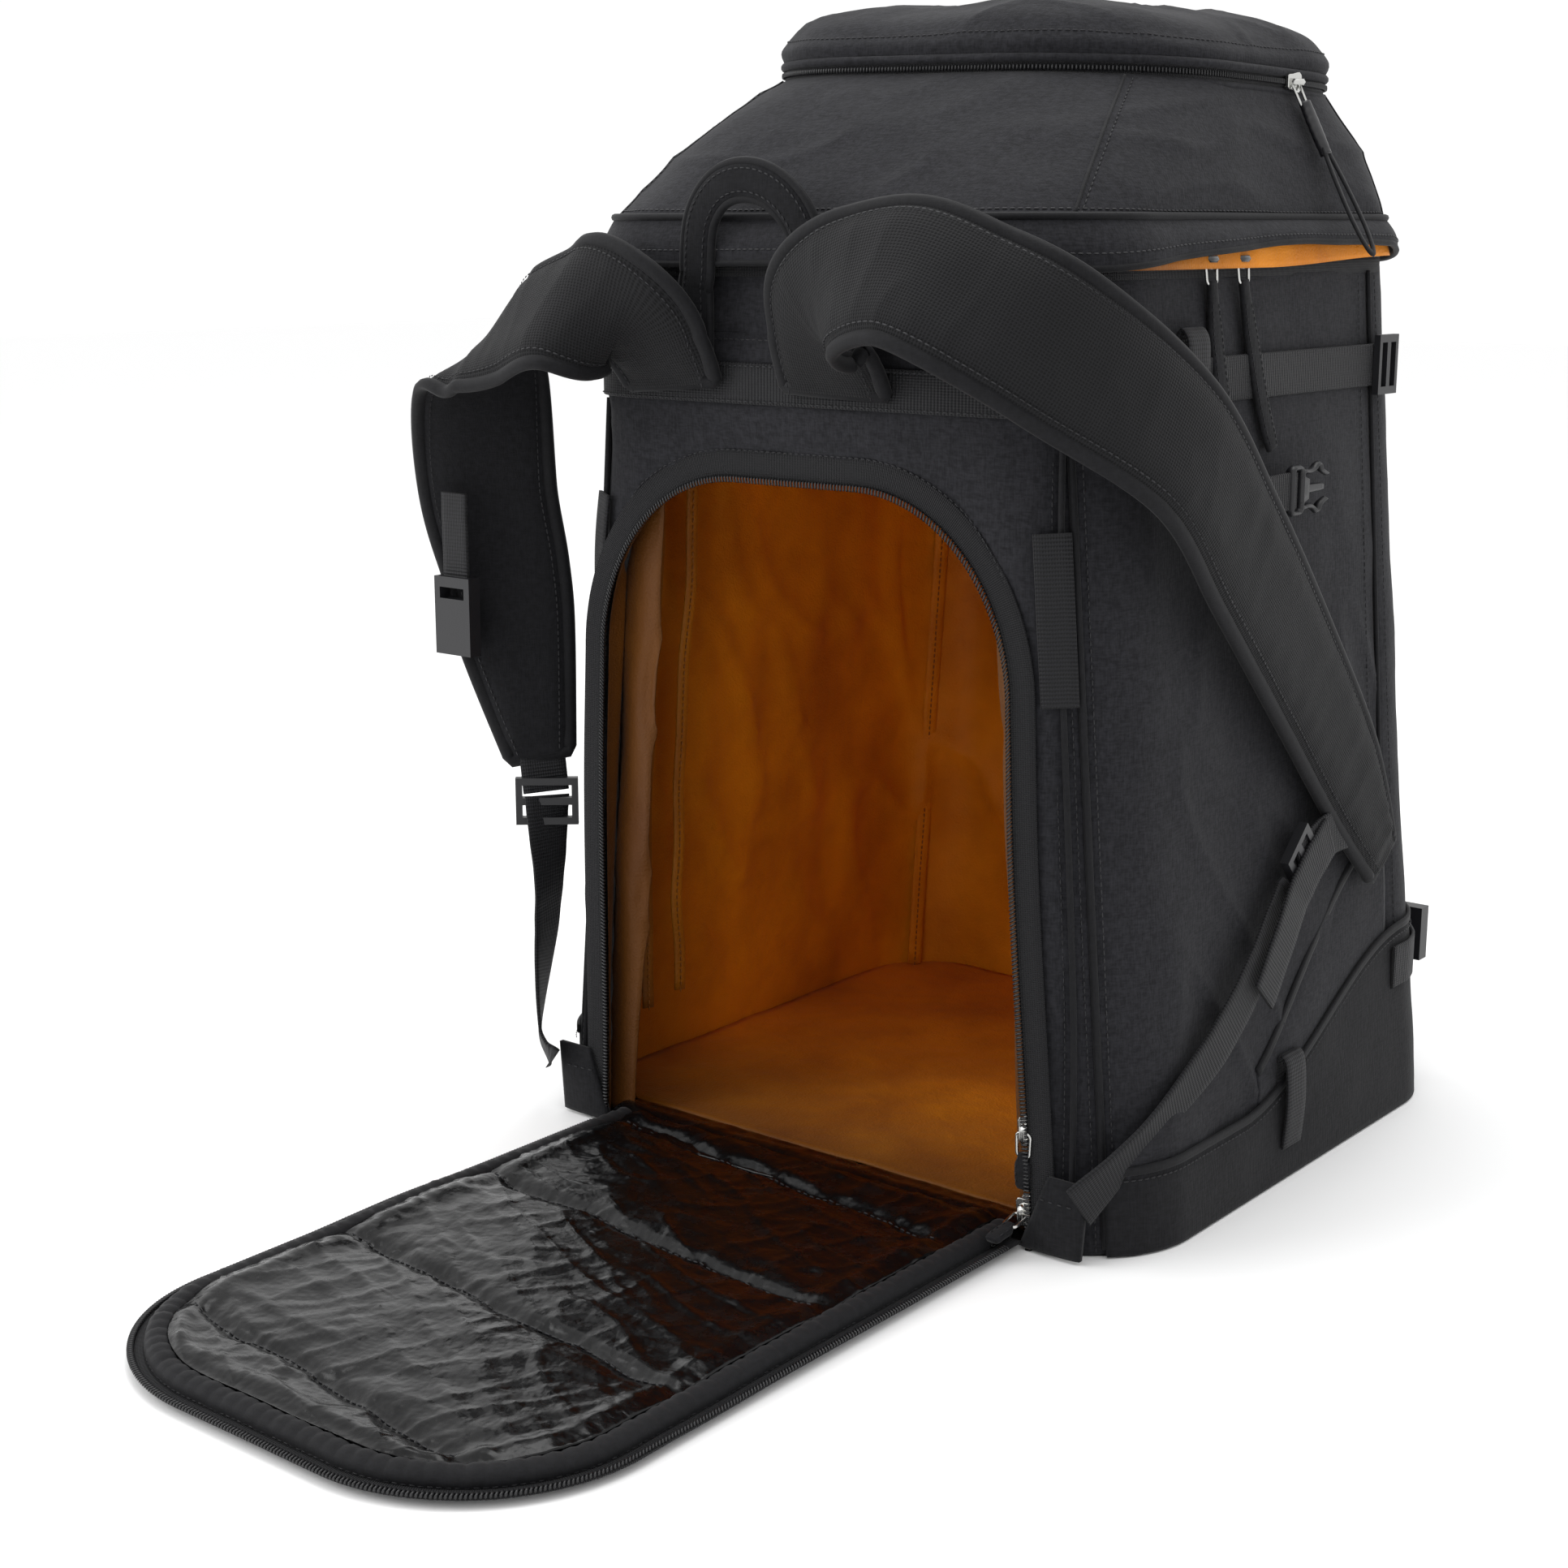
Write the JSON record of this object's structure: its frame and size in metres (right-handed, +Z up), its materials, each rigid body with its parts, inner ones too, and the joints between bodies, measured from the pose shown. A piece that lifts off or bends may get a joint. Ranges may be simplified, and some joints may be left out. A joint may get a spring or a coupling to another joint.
{
  "type": "ski boot bag",
  "caption": "Tall soft ski boot pack with a drop-down boot door in the back, a zipped domed lid, shoulder straps, haul handle and zipped pockets.",
  "frame": {"origin": "middle of the bag's base, on the floor", "axes": "+Z up, the door and straps face -Y, the front pocket faces +Y"},
  "size_m": [0.4342, 0.7291, 0.594],
  "materials": {
    "canvas": "matt heathered black canvas",
    "lining": "orange nylon lining",
    "foam": "closed-cell foam",
    "mat": "glossy black tarpaulin",
    "webbing": "ribbed black webbing",
    "mesh": "black air mesh over foam",
    "zip": "black coil zip",
    "slider": "black enamel on cast zinc",
    "pull": "wire link and doubled tape",
    "buckle": "moulded acetal"
  },
  "bodies": {
    "bag": {"back_panel": "canvas", "side_panel_right": "canvas", "side_panel_left": "canvas", "front_panel": "canvas", "base_panel": "canvas", "base_guard": "canvas", "boot_bay_lining": "lining", "top_bay_lining": "lining", "divider_shelf": "lining", "door_zip_frame_row": "zip", "lid_zip_rim_row": "zip", "yoke_band": "webbing", "door_hinge_piping": "canvas", "lid_hinge_piping": "canvas", "side_straps": "webbing", "side_strap_bars": "buckle", "webbing_tails": "webbing", "loop_tabs": "webbing", "front_pocket": "canvas", "front_pocket_zip": "zip", "front_strap": "webbing", "front_buckle": "buckle", "side_pocket_right": "canvas", "side_pocket_left": "canvas", "strap_anchor_tabs": "webbing", "strap_root_right": "mesh", "strap_root_left": "mesh"},
    "door": {"door_panel": "canvas", "door_foam": "foam", "door_mat": "mat", "door_binding": "mat", "door_zip_door_row": "zip"},
    "lid": {"lid_wall": "canvas", "lid_skirt": "canvas", "lid_zip_lid_row": "zip", "lid_top_panel": "canvas", "lid_pocket_zip": "zip"},
    "strap_right": {"shoulder_pad_right": "mesh", "ladder_lock_right": "buckle", "strap_webbing_right": "webbing"},
    "strap_left": {"shoulder_pad_left": "mesh", "ladder_lock_left": "buckle", "strap_webbing_left": "webbing"},
    "chest_strap_right": {"chest_webbing_right": "webbing", "chest_buckle_right": "buckle"},
    "chest_strap_left": {"chest_webbing_left": "webbing", "chest_buckle_left": "buckle"},
    "handle": {"haul_handle": "webbing"},
    "upper_door_slider": {"door_slider_upper": "slider"},
    "upper_door_pull": {"door_pull_upper": "pull"},
    "lower_door_slider": {"door_slider_lower": "slider"},
    "lower_door_pull": {"door_pull_lower": "pull"},
    "rear_lid_slider": {"lid_slider_rear": "slider"},
    "rear_lid_pull": {"lid_pull_rear": "pull"},
    "front_lid_slider": {"lid_slider_front": "slider"},
    "front_lid_pull": {"lid_pull_front": "pull"},
    "top_pocket_slider": {"pocket_slider": "slider"},
    "top_pocket_pull": {"pocket_pull": "pull"},
    "front_pocket_slider": {"front_slider": "slider"},
    "front_pocket_pull": {"front_pull": "pull"}
  },
  "joints": [
    {"name": "door_hinge", "type": "hinge", "parent": "bag", "child": "door", "pos_m": [0, -0.167, 0.005], "axis": [-1, 0, 0], "range_deg": [0, 90]},
    {"name": "lid_hinge", "type": "hinge", "parent": "bag", "child": "lid", "pos_m": [0, 0.166, 0.4615], "axis": [-1, 0, 0], "range_deg": [0, 110]},
    {"name": "strap_right_swing", "type": "hinge", "parent": "bag", "child": "strap_right", "pos_m": [0.025, -0.1869, 0.41], "axis": [0.3522, 0.0145, -0.9358], "range_deg": [0, 35]},
    {"name": "strap_left_swing", "type": "hinge", "parent": "bag", "child": "strap_left", "pos_m": [-0.077, -0.1869, 0.41], "axis": [0.234, -0.01, 0.9722], "range_deg": [-10, 35]},
    {"name": "chest_strap_right_swing", "type": "hinge", "parent": "strap_right", "child": "chest_strap_right", "pos_m": [0.17192, -0.05, 0.353], "axis": [0, 0, -1], "range_deg": [0, 40]},
    {"name": "chest_strap_left_swing", "type": "hinge", "parent": "strap_left", "child": "chest_strap_left", "pos_m": [-0.207, -0.2085, 0.34], "axis": [-1, 0, 0], "range_deg": [0, 60]},
    {"name": "handle_fold", "type": "hinge", "parent": "bag", "child": "handle", "pos_m": [-0.026, -0.1845, 0.4245], "axis": [1, 0, 0], "range_deg": [0, 15]},
    {"name": "upper_door_slider_slide", "type": "slide", "parent": "bag", "child": "upper_door_slider", "axis": [0, 0, 1], "range_m": [0, 0.215]},
    {"name": "upper_door_pull_swing", "type": "hinge", "parent": "upper_door_slider", "child": "upper_door_pull", "pos_m": [0.134, -0.1725, 0.058], "axis": [-1, 0, 0], "range_deg": [0, 165]},
    {"name": "lower_door_slider_slide", "type": "slide", "parent": "bag", "child": "lower_door_slider", "axis": [0, 0, 1], "range_m": [0, 0.006]},
    {"name": "lower_door_pull_swing", "type": "hinge", "parent": "lower_door_slider", "child": "lower_door_pull", "pos_m": [0.134, -0.1725, 0.017], "axis": [-1, 0, 0], "range_deg": [-24, 85]},
    {"name": "rear_lid_slider_slide", "type": "slide", "parent": "bag", "child": "rear_lid_slider", "axis": [0, 1, 0], "range_m": [-0.006, 0.004]},
    {"name": "rear_lid_pull_swing", "type": "hinge", "parent": "rear_lid_slider", "child": "rear_lid_pull", "pos_m": [0.155, -0.062, 0.46545], "axis": [0, -1, 0], "range_deg": [0, 85]},
    {"name": "front_lid_slider_slide", "type": "slide", "parent": "bag", "child": "front_lid_slider", "axis": [0, 1, 0], "range_m": [-0.004, 0.13]},
    {"name": "front_lid_pull_swing", "type": "hinge", "parent": "front_lid_slider", "child": "front_lid_pull", "pos_m": [0.155, -0.031, 0.46545], "axis": [0, -1, 0], "range_deg": [0, 85]},
    {"name": "top_pocket_slider_slide", "type": "slide", "parent": "lid", "child": "top_pocket_slider", "axis": [0, 1, 0], "range_m": [-0.05, 0.01]},
    {"name": "top_pocket_pull_swing", "type": "hinge", "parent": "top_pocket_slider", "child": "top_pocket_pull", "pos_m": [0.1316, 0.06, 0.5509], "axis": [0, -1, 0], "range_deg": [0, 90]},
    {"name": "front_pocket_slider_slide", "type": "slide", "parent": "bag", "child": "front_pocket_slider", "axis": [0, 0, 1], "range_m": [-0.14, 0.04]},
    {"name": "front_pocket_pull_swing", "type": "hinge", "parent": "front_pocket_slider", "child": "front_pocket_pull", "pos_m": [0.1256, 0.184, 0.3], "axis": [0, -1, 0], "range_deg": [0, 150]}
  ]
}
